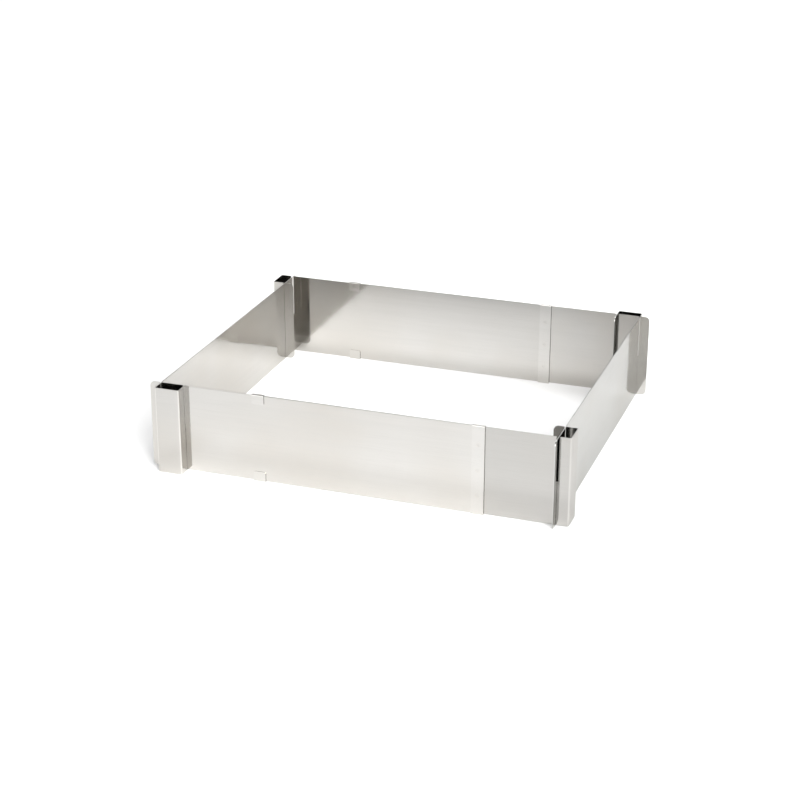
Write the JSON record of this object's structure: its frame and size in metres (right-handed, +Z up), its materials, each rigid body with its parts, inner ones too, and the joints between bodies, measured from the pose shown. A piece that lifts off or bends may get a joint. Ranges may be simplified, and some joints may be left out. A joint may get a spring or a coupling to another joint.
{
  "type": "adjustable cake frame",
  "caption": "Bottomless rectangular baking frame of thin steel sheets, with telescoping front and back, slotted lift-off side walls and hooked corners.",
  "frame": {"origin": "middle of the frame's footprint, on the plane that it stands on", "axes": "+X along the adjustable length, to the right seen from the front; +Y from front to back; +Z up"},
  "size_m": [0.4298, 0.3698, 0.0922],
  "materials": {
    "steel_sheet": "bright rolled stainless sheet, softly mirroring",
    "steel_clip": "bright rolled stainless strip, spot welded"
  },
  "bodies": {
    "left_panels": {"front_outer_panel": "steel_sheet", "front_outer_clip": "steel_clip", "back_inner_panel": "steel_sheet", "back_inner_clip": "steel_clip"},
    "left_wall": {"left_side_wall": "steel_sheet"},
    "front_right_panel": {"front_inner_panel": "steel_sheet", "front_inner_clip": "steel_clip"},
    "back_right_panel": {"back_outer_panel": "steel_sheet", "back_outer_clip": "steel_clip"},
    "right_wall": {"right_side_wall": "steel_sheet"}
  },
  "joints": [
    {"name": "front_slide", "type": "slide", "parent": "left_panels", "child": "front_right_panel", "axis": [1, 0, 0], "range_m": [-0.068, 0.21]},
    {"name": "back_slide", "type": "slide", "parent": "left_panels", "child": "back_right_panel", "axis": [1, 0, 0], "range_m": [-0.068, 0.21]},
    {"name": "left_wall_lift", "type": "slide", "parent": "left_panels", "child": "left_wall", "axis": [0, 0, 1], "range_m": [0, 0.095]},
    {"name": "right_wall_lift", "type": "slide", "parent": "front_right_panel", "child": "right_wall", "axis": [0, 0, 1], "range_m": [0, 0.095]}
  ],
  "couplings": [
    {"joint": "back_slide", "follows": "front_slide", "ratio": 1}
  ]
}
